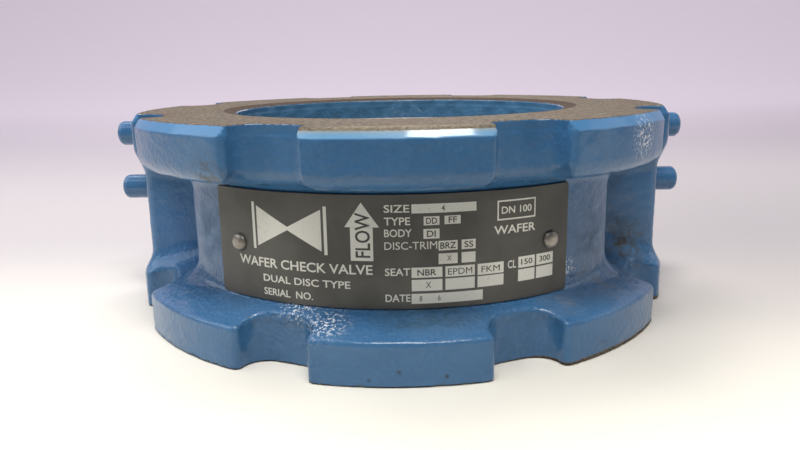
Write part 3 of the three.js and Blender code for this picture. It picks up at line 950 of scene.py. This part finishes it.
def letters(words):
    """The points and faces of a line of plain capitals, lying flat, from its lower left corner."""
    curve = bpy.data.curves.new("words", "FONT")
    curve.body = words
    curve.extrude = 0.5
    curve.resolution_u = 3
    curve.offset = 0.0 if "M" in words else 0.014  # thickening would break the corners of an M
    writer = new_object("words", curve)
    bpy.context.view_layer.update()
    mesh = writer.to_mesh()
    points = np.array([v.co for v in mesh.vertices])
    faces = [list(f.vertices) for f in mesh.polygons]
    writer.to_mesh_clear()
    bpy.data.objects.remove(writer)
    bpy.data.curves.remove(curve)
    return points - points.min(0), faces


class Print:
    """Collects thin raised shapes that are printed on the plate in one ink."""

    def __init__(self, lift, thickness=0.03):
        self.lift, self.thickness = lift, thickness
        self.points, self.faces = [], []
        self.count = 0

    def add(self, points, faces):
        """Takes in another closed shape."""
        self.points.append(points)
        self.faces += [[i + self.count for i in face] for face in faces]
        self.count += len(points)

    def band(self, start, end, low, high):
        """A shape between two arc lengths. low and high are (start, end) heights."""
        columns = max(2, int(abs(end - start) / 1.5) + 2)
        top, bottom = self.lift + self.thickness, self.lift
        rings = []
        for t in np.linspace(0, 1, columns):
            s = start + t * (end - start)
            a = low[0] + t * (low[1] - low[0])
            b = high[0] + t * (high[1] - high[0])
            rings.append(on_plate([(s, a, bottom), (s, a, top), (s, b, top), (s, b, bottom)]))
        self.add(*loft(np.array(rings)[:, ::-1]))

    def box(self, start, end, low, high):
        self.band(start, end, (low, low), (high, high))

    def outline(self, start, end, low, high, width):
        """A frame of four strips."""
        self.box(start, end, low, low + width)
        self.box(start, end, high - width, high)
        self.box(start, start + width, low + width, high - width)
        self.box(end - width, end, low + width, high - width)

    def text(self, words, start, base, height, width=None, upright=False):
        """Plain capitals. width is how far the line runs; upright text runs up the plate."""
        flat, faces = letters(words)
        size = flat.max(0)
        up = height / size[1]
        along = 0.82 * up if width is None else width / size[0]
        layer = self.lift + flat[:, 2] * self.thickness
        if upright:
            placed = np.c_[start - flat[:, 1] * up, base + flat[:, 0] * along, layer]
        else:
            placed = np.c_[start + flat[:, 0] * along, base + flat[:, 1] * up, layer]
        self.add(on_plate(placed), faces)

    def make(self, name, material):
        make_piece(name, np.concatenate(self.points), self.faces, material, "casing", "plate")


# What is printed, in arc lengths and heights on the plate. Labels: words, base, width.
LABELS = (
    ("SIZE", 47.3, 7.4), ("TYPE", 43.6, 7.6), ("BODY", 40.1, 8.0),
    ("DISC-TRIM", 36.3, 15.4), ("SEAT", 28.4, 7.4), ("DATE", 20.4, 7.4),
)
LABEL_START, LABEL_HEIGHT = -4.3, 2.3
LIGHT_BOXES = (  # start, end, low, high
    (3.7, 22.9, 47.0, 49.7), (7.2, 11.8, 43.4, 46.0), (13.3, 18.1, 43.5, 46.0), (7.1, 11.8, 39.4, 42.3),
    (11.5, 17.2, 35.7, 38.6), (18.4, 22.7, 35.7, 38.6), (11.5, 17.2, 31.6, 34.8), (18.4, 22.7, 31.6, 34.8),
    (3.5, 12.6, 27.7, 30.8), (13.5, 22.5, 27.6, 30.8), (23.4, 31.9, 27.4, 30.8),
    (3.5, 12.6, 23.6, 27.1), (13.5, 22.5, 23.6, 27.1), (23.4, 31.9, 23.6, 27.0),
    (37.0, 43.1, 28.0, 31.5), (43.7, 50.4, 28.0, 31.5), (37.0, 43.1, 23.8, 27.5), (43.7, 50.4, 23.8, 27.5),
    (3.4, 25.1, 19.7, 22.8),
)
DARK_WORDS = (  # words, start, base, height, width
    ("DD", 7.9, 43.8, 1.8, 3.2), ("FF", 14.5, 43.9, 1.8, 2.5), ("DI", 8.1, 39.9, 1.9, 2.6),
    ("BRZ", 12.0, 36.2, 1.9, 4.7), ("SS", 19.2, 36.2, 1.9, 2.8), ("NBR", 5.2, 28.3, 1.9, 5.6),
    ("EPDM", 14.3, 28.2, 1.9, 7.4), ("FKM", 24.6, 28.1, 1.9, 6.0), ("150", 38.0, 28.9, 1.8, 4.2),
    ("300", 44.9, 28.9, 1.8, 4.3),
)
STAMPS = (  # mark, start, base, height
    ("4", 12.4, 47.4, 1.9), ("X", 14.0, 32.5, 1.6), ("X", 7.6, 24.5, 1.9),
    ("8", 5.7, 20.4, 1.7), ("6", 11.2, 20.4, 1.7),
)


def print_left_side(light, dark):
    """A plain valve symbol, the flow arrow and three lines of generic words."""
    left, waist, right = -45.6, -34.4, -23.2
    middle, height, half_waist = 41.6, 6.3, 0.5
    low, high = (middle - height, middle - half_waist), (middle + height, middle + half_waist)
    light.band(left, waist, low, high)
    light.band(waist, right, low[::-1], high[::-1])
    for bar in (left - 1.8, right + 0.8):
        light.box(bar, bar + 1.0, low[0] - 1, high[0] + 1)
    tail, tip, head = -15.9, -10.9, 43.0
    light.band(tail, tip, (head, head), (head + 0.1, 50.3))
    light.band(tip, tip + 5.1, (head, head), (50.3, head + 0.1))
    light.box(tip - 3.4, tip + 3.3, 32.9, head - 0.05)
    dark.text("FLOW", -8.4, 33.9, 4.5, 13.4, upright=True)
    light.text("WAFER CHECK VALVE", -53.9, 28.7, 3.0, 46.0)
    light.text("DUAL DISC TYPE", -44.2, 24.2, 2.3, 29.5)
    light.text("SERIAL  NO.", -44.2, 19.9, 2.3, 17.5)


def print_right_side(light, dark):
    """The labels, the boxes with their words, and the size box."""
    for words, base, width in LABELS:
        light.text(words, LABEL_START, base, LABEL_HEIGHT, width)
    light.text("CL", 33.3, 28.3, 2.5, 2.9)
    for box in LIGHT_BOXES:
        light.box(*box)
    for words in DARK_WORDS:
        dark.text(*words)
    light.outline(29.6, 42.9, 43.4, 49.4, 0.45)
    light.text("DN 100", 31.0, 45.3, 2.2, 10.4)
    light.text("WAFER", 28.6, 39.2, 2.6, 14.4)


def build_nameplate(sheet, light_ink, dark_ink, stamp_ink):
    """The plate, with its light print, the dark print on that, and the stamped marks."""
    build_plate(sheet)
    light, dark, stamps = Print(0.0), Print(0.03), Print(0.03, 0.02)
    print_left_side(light, dark)
    print_right_side(light, dark)
    for mark in STAMPS:
        stamps.text(*mark)
    light.make("nameplate_print", light_ink)
    dark.make("nameplate_dark_print", dark_ink)
    stamps.make("nameplate_stamps", stamp_ink)


def build_rivets(material):
    """Drive screws: a domed, slightly flattened head and a plain shank."""
    head_r, head_height, shank_r, length = 2.85, 1.55, 1.5, 7.0
    turn = np.linspace(0, 0.47 * np.pi, 10)
    dome = [(0.02 + head_height * math.sin(a), head_r * math.cos(a) ** 0.75) for a in turn]
    shank = [(-length, 1.0), (0.6 - length, shank_r), (-0.05, shank_r)]
    profile = [*shank, (0.0, head_r - 0.15), *dome]
    for side, degrees in (("left", -35.9), ("right", 32.95)):
        points, faces = turned(profile, 36)
        a = math.radians(degrees)
        outward = np.array([math.sin(a), -math.cos(a), 0])
        across = np.array([math.cos(a), math.sin(a), 0])
        base = outward * (PLATE_OUTER_R + 0.02) + [0, 0, RIVET_Z]
        placed = base + points @ [outward, across, [0, 0, 1]]
        add_part(f"nameplate_rivet_{side}", "screw", (placed, faces), material, "steel")


# ------------ stage, lights, camera
# Paper colours that paint the light: near, middle and far follow its fall-off.
PAPER_NEAR = (0.82, 0.79, 0.70)
PAPER_MIDDLE = (0.50, 0.47, 0.485)
PAPER_FAR = (0.45, 0.41, 0.465)
PAPER_SHADE = (0.30, 0.28, 0.30)
# Painted shade: a dark strip of floor in front of the valve.
SHADED_FLOOR_IN_FRONT = (0.29, 0.285, 0.28)  # outside the picture: what the valve's front reflects
# Painted glow: light given off by the far paper.
PAPER_GLOW = (0.66, 0.57, 0.66)


def paper_material():
    """Pale paper that paints the light on the stage: warm and bright near the valve, mauve and darker far
    behind it, with a soft painted shade at its right, painted shade in front, and a painted glow far
    behind.
    """
    look = Look("backdrop_paper")
    depth = look.axis("Y")
    paper = look.mix(look.remap(depth, -0.26, -0.15), SHADED_FLOOR_IN_FRONT, PAPER_NEAR)
    paper = look.mix(look.remap(depth, -0.13, 0.10), paper, PAPER_MIDDLE)
    paper = look.mix(look.remap(depth, 0.15, 0.6), paper, PAPER_FAR)
    beside = look.times(look.remap(depth, -0.13, -0.02, 0.35, 1.0), look.remap(depth, 0.05, 0.4, 1.0, 0.0))
    shade = look.times(look.remap(look.axis("X"), 0.0, 0.20, 0.0, 0.50), beside)
    paper = look.mix(shade, paper, PAPER_SHADE)
    paper = look.mix(look.noise(300, 2.0), paper, look.mix(0.03, paper, (0.5, 0.5, 0.5)))
    look.surface(Base_Color=paper, Roughness=0.85, Specular_IOR_Level=0.15)
    # The painted glow of the far paper.
    look.surface(Emission_Color=PAPER_GLOW, Emission_Strength=look.remap(depth, 0.32, 1.4, 0.0, 0.66))
    return look.material


def build_stage():
    """A pale sheet that runs back from the valve and curves up behind it, in metres."""
    half_width, front, back, top, bend = 4.0, -4.0, 2.2, 2.4, 1.0
    turn = np.linspace(0, np.pi / 2, 16)
    curved = [(back - bend + bend * math.sin(a), bend - bend * math.cos(a)) for a in turn]
    line = [(front, 0.0), *curved, (back, top)]
    points = [(x, y, z - 0.1 * MM) for y, z in line for x in (-half_width, half_width)]
    faces = [[2 * i, 2 * i + 1, 2 * i + 3, 2 * i + 2] for i in range(len(line) - 1)]
    mesh = bpy.data.meshes.new("backdrop")
    mesh.from_pydata(points, [], faces)
    mesh.polygons.foreach_set("use_smooth", [True] * len(mesh.polygons))
    mesh.materials.append(paper_material())
    backdrop = new_object("backdrop", mesh)


VALVE = (0, 0, 0.03)
TOP_FRONT = (0.02, -0.05, 0.07)
WARM, COOL = (1.0, 0.98, 0.95), (0.93, 0.96, 1.0)
LAMPS = (  # name, place, what it points at, size, watts, colour
    ("overhead", (-0.05, -0.36, 1.25), VALVE, (0.40, 0.30), 9.5, (1.0, 0.97, 0.93)),
    ("ceiling_back", (-0.2, 0.45, 1.15), VALVE, (0.8, 0.6), 9, WARM),
    ("front_strip", (0.28, -0.62, 1.15), VALVE, (0.46, 0.10), 4.6, WARM),
    ("window_left", (-1.0, -0.12, 0.85), VALVE, (1.2, 0.9), 7.0, COOL),
    ("window_right", (1.10, 0.10, 0.55), VALVE, (0.6, 0.5), 1.1, (0.96, 0.96, 1.0)),
    ("window_back", (0.12, 1.2, 0.40), TOP_FRONT, (0.45, 0.25), 0.8, (1.0, 0.90, 0.76)),
)


def area_light(name, place, aim, size, watts, colour):
    """A soft lamp that the camera doesn't see."""
    lamp = bpy.data.lights.new(name, "AREA")
    lamp.shape = "RECTANGLE"
    lamp.size, lamp.size_y = size
    lamp.energy = watts
    lamp.color = colour
    light = new_object(name, lamp)
    light.location = place
    light.visible_camera = False
    light.rotation_euler = (Vector(aim) - Vector(place)).to_track_quat("-Z", "Y").to_euler()


def build_lights():
    """Soft lamps and a dim, bluish room."""
    world = bpy.data.worlds.new("soft_room")
    world.use_nodes = True
    background = world.node_tree.nodes["Background"]
    background.inputs["Color"].default_value = (0.86, 0.88, 1.0, 1)
    background.inputs["Strength"].default_value = 0.16
    bpy.context.scene.world = world
    for lamp in LAMPS:
        area_light(*lamp)


CAMERA_PLACE = (-0.00067, -0.28638, 0.08875)
LENS, SENSOR = 32.16, 36.0
PITCH, ROLL, ROUND_VALVE = 12.64, -1.0, 0.69  # in degrees


def build_camera():
    """The photograph's viewpoint: close, a little above the valve, and leaning by one degree."""
    pitch, roll, round_valve = np.radians([PITCH, ROLL, ROUND_VALVE])
    data = bpy.data.cameras.new("camera")
    data.sensor_width = SENSOR
    data.lens = LENS
    data.clip_start = 0.01
    forward = Vector((0, math.cos(pitch), -math.sin(pitch)))
    right = Vector((1, 0, 0))
    up = right.cross(forward)
    tilted_right = math.cos(roll) * right + math.sin(roll) * up
    tilted_up = -math.sin(roll) * right + math.cos(roll) * up
    pose = Matrix((tilted_right, tilted_up, -forward)).transposed().to_4x4()
    pose.translation = Vector(CAMERA_PLACE)
    camera = new_object("camera", data)
    camera.matrix_world = Matrix.Rotation(round_valve, 4, "Z") @ pose
    bpy.context.scene.camera = camera


# ------------ the scene
painted_body = cast_paint("blue_enamel_machined", True)
painted_plug = cast_paint("blue_enamel", False)
ground_steel = drawn_steel("ground_steel", 0.28)
build_body(painted_body)
build_seat(soft_material("nitrile_rubber", (0.012, 0.012, 0.013), (0.02, 0.02, 0.021), 0.6, 0.8, 0.03))
build_discs(metal("cast_bronze", (0.36, 0.22, 0.08), (0.52, 0.36, 0.15), 0.42, 1.2, 0.12))
build_pins(ground_steel)
build_plugs(painted_plug)
build_washers(soft_material("ptfe", (0.70, 0.69, 0.66), (0.80, 0.79, 0.76), 0.45, 0.9, 0.02))
build_springs(drawn_steel("spring_wire", 0.34))
build_nameplate(
    plate_material(),
    ink_material("cream_print", (0.40, 0.39, 0.35), (0.72, 0.71, 0.64), 0.5),
    ink_material("dark_print", (0.07, 0.07, 0.062), (0.05, 0.05, 0.045), 0.5),
    ink_material("stamped_mark", (0.20, 0.19, 0.17), (0.14, 0.135, 0.12), 0.5),
)
build_rivets(metal("worn_rivet_steel", (0.24, 0.22, 0.19), (0.43, 0.40, 0.35), 0.42, 0.9, 0.08, 0.85))
build_stage()
build_lights()
build_camera()
bpy.context.scene.view_settings.view_transform = "Standard"
